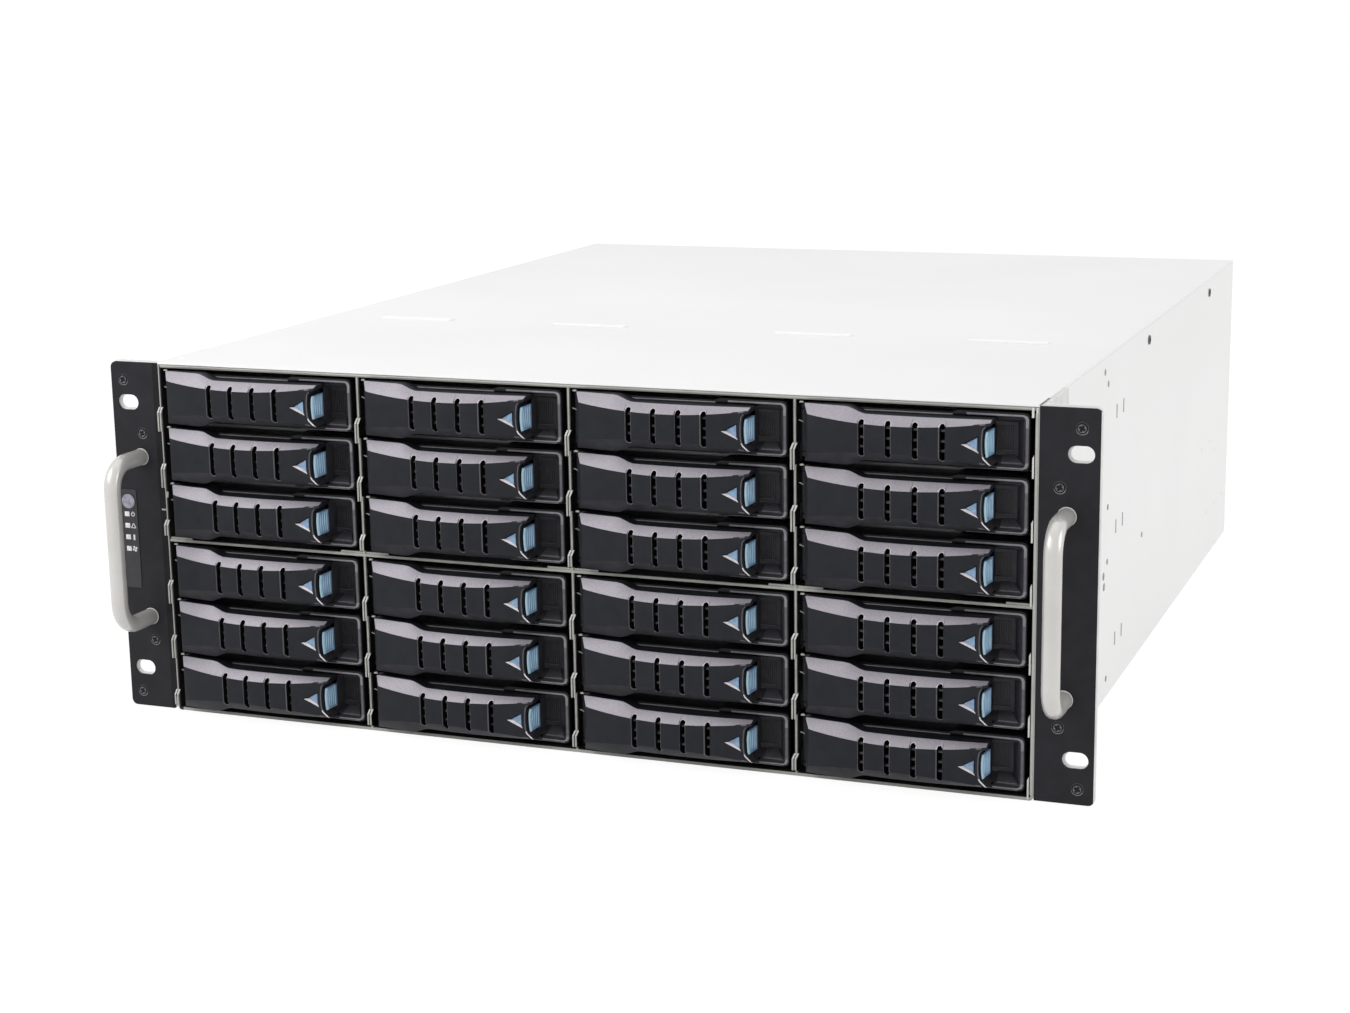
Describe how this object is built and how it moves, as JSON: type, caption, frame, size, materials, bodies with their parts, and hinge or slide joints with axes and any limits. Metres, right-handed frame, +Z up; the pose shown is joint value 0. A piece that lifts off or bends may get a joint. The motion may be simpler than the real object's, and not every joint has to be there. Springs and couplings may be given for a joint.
{
  "type": "disk shelf enclosure",
  "caption": "Rack-mount disk shelf: sheet-metal chassis with ears and handles, hot-swap drive carriers with latch levers in a front grid, plug-in power and expander modules behind.",
  "frame": {"origin": "middle of the chassis bottom, in the plane where the rack ears bear on the rack's posts", "axes": "+X to the right seen from the front, +Y to the rear, +Z up; the drive bays face -Y"},
  "size_m": [0.4826, 0.5956, 0.1744],
  "materials": {
    "chassis_sheet": "satin",
    "zinc_sheet": "satin",
    "circuit_board": "satin",
    "ear_paint": "satin",
    "handle_satin": "satin",
    "panel_film": "satin",
    "module_sheet": "satin",
    "carrier_set": "satin",
    "lever_plastic": "satin"
  },
  "bodies": {
    "chassis": {"chassis_pan": "chassis_sheet", "module_cage": "zinc_sheet", "top_covers": "chassis_sheet", "drive_cage": "zinc_sheet", "backplane": "circuit_board", "rack_ears": "ear_paint", "ear_handles": "handle_satin", "status_panel": "panel_film"},
    "power_module_left": {"power_module_left": "module_sheet"},
    "power_module_right": {"power_module_right": "module_sheet"},
    "expander_module_upper": {"expander_module_upper": "module_sheet"},
    "expander_module_lower": {"expander_module_lower": "module_sheet"},
    "carrier_row1_column1": {"carrier_row1_column1": "carrier_set"},
    "latch_lever_row1_column1": {"latch_lever_row1_column1": "lever_plastic"},
    "carrier_row2_column1": {"carrier_row2_column1": "carrier_set"},
    "latch_lever_row2_column1": {"latch_lever_row2_column1": "lever_plastic"},
    "carrier_row3_column1": {"carrier_row3_column1": "carrier_set"},
    "latch_lever_row3_column1": {"latch_lever_row3_column1": "lever_plastic"},
    "carrier_row4_column1": {"carrier_row4_column1": "carrier_set"},
    "latch_lever_row4_column1": {"latch_lever_row4_column1": "lever_plastic"},
    "carrier_row5_column1": {"carrier_row5_column1": "carrier_set"},
    "latch_lever_row5_column1": {"latch_lever_row5_column1": "lever_plastic"},
    "carrier_row6_column1": {"carrier_row6_column1": "carrier_set"},
    "latch_lever_row6_column1": {"latch_lever_row6_column1": "lever_plastic"},
    "carrier_row1_column2": {"carrier_row1_column2": "carrier_set"},
    "latch_lever_row1_column2": {"latch_lever_row1_column2": "lever_plastic"},
    "carrier_row2_column2": {"carrier_row2_column2": "carrier_set"},
    "latch_lever_row2_column2": {"latch_lever_row2_column2": "lever_plastic"},
    "carrier_row3_column2": {"carrier_row3_column2": "carrier_set"},
    "latch_lever_row3_column2": {"latch_lever_row3_column2": "lever_plastic"},
    "carrier_row4_column2": {"carrier_row4_column2": "carrier_set"},
    "latch_lever_row4_column2": {"latch_lever_row4_column2": "lever_plastic"},
    "carrier_row5_column2": {"carrier_row5_column2": "carrier_set"},
    "latch_lever_row5_column2": {"latch_lever_row5_column2": "lever_plastic"},
    "carrier_row6_column2": {"carrier_row6_column2": "carrier_set"},
    "latch_lever_row6_column2": {"latch_lever_row6_column2": "lever_plastic"},
    "carrier_row1_column3": {"carrier_row1_column3": "carrier_set"},
    "latch_lever_row1_column3": {"latch_lever_row1_column3": "lever_plastic"},
    "carrier_row2_column3": {"carrier_row2_column3": "carrier_set"},
    "latch_lever_row2_column3": {"latch_lever_row2_column3": "lever_plastic"},
    "carrier_row3_column3": {"carrier_row3_column3": "carrier_set"},
    "latch_lever_row3_column3": {"latch_lever_row3_column3": "lever_plastic"},
    "carrier_row4_column3": {"carrier_row4_column3": "carrier_set"},
    "latch_lever_row4_column3": {"latch_lever_row4_column3": "lever_plastic"},
    "carrier_row5_column3": {"carrier_row5_column3": "carrier_set"},
    "latch_lever_row5_column3": {"latch_lever_row5_column3": "lever_plastic"},
    "carrier_row6_column3": {"carrier_row6_column3": "carrier_set"},
    "latch_lever_row6_column3": {"latch_lever_row6_column3": "lever_plastic"},
    "carrier_row1_column4": {"carrier_row1_column4": "carrier_set"},
    "latch_lever_row1_column4": {"latch_lever_row1_column4": "lever_plastic"},
    "carrier_row2_column4": {"carrier_row2_column4": "carrier_set"},
    "latch_lever_row2_column4": {"latch_lever_row2_column4": "lever_plastic"},
    "carrier_row3_column4": {"carrier_row3_column4": "carrier_set"},
    "latch_lever_row3_column4": {"latch_lever_row3_column4": "lever_plastic"},
    "carrier_row4_column4": {"carrier_row4_column4": "carrier_set"},
    "latch_lever_row4_column4": {"latch_lever_row4_column4": "lever_plastic"},
    "carrier_row5_column4": {"carrier_row5_column4": "carrier_set"},
    "latch_lever_row5_column4": {"latch_lever_row5_column4": "lever_plastic"},
    "carrier_row6_column4": {"carrier_row6_column4": "carrier_set"},
    "latch_lever_row6_column4": {"latch_lever_row6_column4": "lever_plastic"}
  },
  "joints": [
    {"name": "power_module_left_slide", "type": "slide", "parent": "chassis", "child": "power_module_left", "axis": [0, 1, 0], "range_m": [0, 0.37]},
    {"name": "power_module_right_slide", "type": "slide", "parent": "chassis", "child": "power_module_right", "axis": [0, 1, 0], "range_m": [0, 0.37]},
    {"name": "expander_module_upper_slide", "type": "slide", "parent": "chassis", "child": "expander_module_upper", "axis": [0, 1, 0], "range_m": [0, 0.37]},
    {"name": "expander_module_lower_slide", "type": "slide", "parent": "chassis", "child": "expander_module_lower", "axis": [0, 1, 0], "range_m": [0, 0.37]},
    {"name": "carrier_row1_column1_slide", "type": "slide", "parent": "chassis", "child": "carrier_row1_column1", "axis": [0, -1, 0], "range_m": [0, 0.2]},
    {"name": "latch_lever_row1_column1_hinge", "type": "hinge", "parent": "carrier_row1_column1", "child": "latch_lever_row1_column1", "pos_m": [-0.2092, 0.001, 0.1575], "axis": [0, 0, -1], "range_deg": [0, 60]},
    {"name": "carrier_row2_column1_slide", "type": "slide", "parent": "chassis", "child": "carrier_row2_column1", "axis": [0, -1, 0], "range_m": [0, 0.2]},
    {"name": "latch_lever_row2_column1_hinge", "type": "hinge", "parent": "carrier_row2_column1", "child": "latch_lever_row2_column1", "pos_m": [-0.2092, 0.001, 0.1297], "axis": [0, 0, -1], "range_deg": [0, 60]},
    {"name": "carrier_row3_column1_slide", "type": "slide", "parent": "chassis", "child": "carrier_row3_column1", "axis": [0, -1, 0], "range_m": [0, 0.2]},
    {"name": "latch_lever_row3_column1_hinge", "type": "hinge", "parent": "carrier_row3_column1", "child": "latch_lever_row3_column1", "pos_m": [-0.2092, 0.001, 0.1019], "axis": [0, 0, -1], "range_deg": [0, 60]},
    {"name": "carrier_row4_column1_slide", "type": "slide", "parent": "chassis", "child": "carrier_row4_column1", "axis": [0, -1, 0], "range_m": [0, 0.2]},
    {"name": "latch_lever_row4_column1_hinge", "type": "hinge", "parent": "carrier_row4_column1", "child": "latch_lever_row4_column1", "pos_m": [-0.2092, 0.001, 0.0717], "axis": [0, 0, -1], "range_deg": [0, 60]},
    {"name": "carrier_row5_column1_slide", "type": "slide", "parent": "chassis", "child": "carrier_row5_column1", "axis": [0, -1, 0], "range_m": [0, 0.2]},
    {"name": "latch_lever_row5_column1_hinge", "type": "hinge", "parent": "carrier_row5_column1", "child": "latch_lever_row5_column1", "pos_m": [-0.2092, 0.001, 0.0439], "axis": [0, 0, -1], "range_deg": [0, 60]},
    {"name": "carrier_row6_column1_slide", "type": "slide", "parent": "chassis", "child": "carrier_row6_column1", "axis": [0, -1, 0], "range_m": [0, 0.2]},
    {"name": "latch_lever_row6_column1_hinge", "type": "hinge", "parent": "carrier_row6_column1", "child": "latch_lever_row6_column1", "pos_m": [-0.2092, 0.001, 0.0161], "axis": [0, 0, -1], "range_deg": [0, 60]},
    {"name": "carrier_row1_column2_slide", "type": "slide", "parent": "chassis", "child": "carrier_row1_column2", "axis": [0, -1, 0], "range_m": [0, 0.2]},
    {"name": "latch_lever_row1_column2_hinge", "type": "hinge", "parent": "carrier_row1_column2", "child": "latch_lever_row1_column2", "pos_m": [-0.1022, 0.001, 0.1575], "axis": [0, 0, -1], "range_deg": [0, 60]},
    {"name": "carrier_row2_column2_slide", "type": "slide", "parent": "chassis", "child": "carrier_row2_column2", "axis": [0, -1, 0], "range_m": [0, 0.2]},
    {"name": "latch_lever_row2_column2_hinge", "type": "hinge", "parent": "carrier_row2_column2", "child": "latch_lever_row2_column2", "pos_m": [-0.1022, 0.001, 0.1297], "axis": [0, 0, -1], "range_deg": [0, 60]},
    {"name": "carrier_row3_column2_slide", "type": "slide", "parent": "chassis", "child": "carrier_row3_column2", "axis": [0, -1, 0], "range_m": [0, 0.2]},
    {"name": "latch_lever_row3_column2_hinge", "type": "hinge", "parent": "carrier_row3_column2", "child": "latch_lever_row3_column2", "pos_m": [-0.1022, 0.001, 0.1019], "axis": [0, 0, -1], "range_deg": [0, 60]},
    {"name": "carrier_row4_column2_slide", "type": "slide", "parent": "chassis", "child": "carrier_row4_column2", "axis": [0, -1, 0], "range_m": [0, 0.2]},
    {"name": "latch_lever_row4_column2_hinge", "type": "hinge", "parent": "carrier_row4_column2", "child": "latch_lever_row4_column2", "pos_m": [-0.1022, 0.001, 0.0717], "axis": [0, 0, -1], "range_deg": [0, 60]},
    {"name": "carrier_row5_column2_slide", "type": "slide", "parent": "chassis", "child": "carrier_row5_column2", "axis": [0, -1, 0], "range_m": [0, 0.2]},
    {"name": "latch_lever_row5_column2_hinge", "type": "hinge", "parent": "carrier_row5_column2", "child": "latch_lever_row5_column2", "pos_m": [-0.1022, 0.001, 0.0439], "axis": [0, 0, -1], "range_deg": [0, 60]},
    {"name": "carrier_row6_column2_slide", "type": "slide", "parent": "chassis", "child": "carrier_row6_column2", "axis": [0, -1, 0], "range_m": [0, 0.2]},
    {"name": "latch_lever_row6_column2_hinge", "type": "hinge", "parent": "carrier_row6_column2", "child": "latch_lever_row6_column2", "pos_m": [-0.1022, 0.001, 0.0161], "axis": [0, 0, -1], "range_deg": [0, 60]},
    {"name": "carrier_row1_column3_slide", "type": "slide", "parent": "chassis", "child": "carrier_row1_column3", "axis": [0, -1, 0], "range_m": [0, 0.2]},
    {"name": "latch_lever_row1_column3_hinge", "type": "hinge", "parent": "carrier_row1_column3", "child": "latch_lever_row1_column3", "pos_m": [0.0048, 0.001, 0.1575], "axis": [0, 0, -1], "range_deg": [0, 60]},
    {"name": "carrier_row2_column3_slide", "type": "slide", "parent": "chassis", "child": "carrier_row2_column3", "axis": [0, -1, 0], "range_m": [0, 0.2]},
    {"name": "latch_lever_row2_column3_hinge", "type": "hinge", "parent": "carrier_row2_column3", "child": "latch_lever_row2_column3", "pos_m": [0.0048, 0.001, 0.1297], "axis": [0, 0, -1], "range_deg": [0, 60]},
    {"name": "carrier_row3_column3_slide", "type": "slide", "parent": "chassis", "child": "carrier_row3_column3", "axis": [0, -1, 0], "range_m": [0, 0.2]},
    {"name": "latch_lever_row3_column3_hinge", "type": "hinge", "parent": "carrier_row3_column3", "child": "latch_lever_row3_column3", "pos_m": [0.0048, 0.001, 0.1019], "axis": [0, 0, -1], "range_deg": [0, 60]},
    {"name": "carrier_row4_column3_slide", "type": "slide", "parent": "chassis", "child": "carrier_row4_column3", "axis": [0, -1, 0], "range_m": [0, 0.2]},
    {"name": "latch_lever_row4_column3_hinge", "type": "hinge", "parent": "carrier_row4_column3", "child": "latch_lever_row4_column3", "pos_m": [0.0048, 0.001, 0.0717], "axis": [0, 0, -1], "range_deg": [0, 60]},
    {"name": "carrier_row5_column3_slide", "type": "slide", "parent": "chassis", "child": "carrier_row5_column3", "axis": [0, -1, 0], "range_m": [0, 0.2]},
    {"name": "latch_lever_row5_column3_hinge", "type": "hinge", "parent": "carrier_row5_column3", "child": "latch_lever_row5_column3", "pos_m": [0.0048, 0.001, 0.0439], "axis": [0, 0, -1], "range_deg": [0, 60]},
    {"name": "carrier_row6_column3_slide", "type": "slide", "parent": "chassis", "child": "carrier_row6_column3", "axis": [0, -1, 0], "range_m": [0, 0.2]},
    {"name": "latch_lever_row6_column3_hinge", "type": "hinge", "parent": "carrier_row6_column3", "child": "latch_lever_row6_column3", "pos_m": [0.0048, 0.001, 0.0161], "axis": [0, 0, -1], "range_deg": [0, 60]},
    {"name": "carrier_row1_column4_slide", "type": "slide", "parent": "chassis", "child": "carrier_row1_column4", "axis": [0, -1, 0], "range_m": [0, 0.2]},
    {"name": "latch_lever_row1_column4_hinge", "type": "hinge", "parent": "carrier_row1_column4", "child": "latch_lever_row1_column4", "pos_m": [0.1118, 0.001, 0.1575], "axis": [0, 0, -1], "range_deg": [0, 60]},
    {"name": "carrier_row2_column4_slide", "type": "slide", "parent": "chassis", "child": "carrier_row2_column4", "axis": [0, -1, 0], "range_m": [0, 0.2]},
    {"name": "latch_lever_row2_column4_hinge", "type": "hinge", "parent": "carrier_row2_column4", "child": "latch_lever_row2_column4", "pos_m": [0.1118, 0.001, 0.1297], "axis": [0, 0, -1], "range_deg": [0, 60]},
    {"name": "carrier_row3_column4_slide", "type": "slide", "parent": "chassis", "child": "carrier_row3_column4", "axis": [0, -1, 0], "range_m": [0, 0.2]},
    {"name": "latch_lever_row3_column4_hinge", "type": "hinge", "parent": "carrier_row3_column4", "child": "latch_lever_row3_column4", "pos_m": [0.1118, 0.001, 0.1019], "axis": [0, 0, -1], "range_deg": [0, 60]},
    {"name": "carrier_row4_column4_slide", "type": "slide", "parent": "chassis", "child": "carrier_row4_column4", "axis": [0, -1, 0], "range_m": [0, 0.2]},
    {"name": "latch_lever_row4_column4_hinge", "type": "hinge", "parent": "carrier_row4_column4", "child": "latch_lever_row4_column4", "pos_m": [0.1118, 0.001, 0.0717], "axis": [0, 0, -1], "range_deg": [0, 60]},
    {"name": "carrier_row5_column4_slide", "type": "slide", "parent": "chassis", "child": "carrier_row5_column4", "axis": [0, -1, 0], "range_m": [0, 0.2]},
    {"name": "latch_lever_row5_column4_hinge", "type": "hinge", "parent": "carrier_row5_column4", "child": "latch_lever_row5_column4", "pos_m": [0.1118, 0.001, 0.0439], "axis": [0, 0, -1], "range_deg": [0, 60]},
    {"name": "carrier_row6_column4_slide", "type": "slide", "parent": "chassis", "child": "carrier_row6_column4", "axis": [0, -1, 0], "range_m": [0, 0.2]},
    {"name": "latch_lever_row6_column4_hinge", "type": "hinge", "parent": "carrier_row6_column4", "child": "latch_lever_row6_column4", "pos_m": [0.1118, 0.001, 0.0161], "axis": [0, 0, -1], "range_deg": [0, 60]}
  ]
}
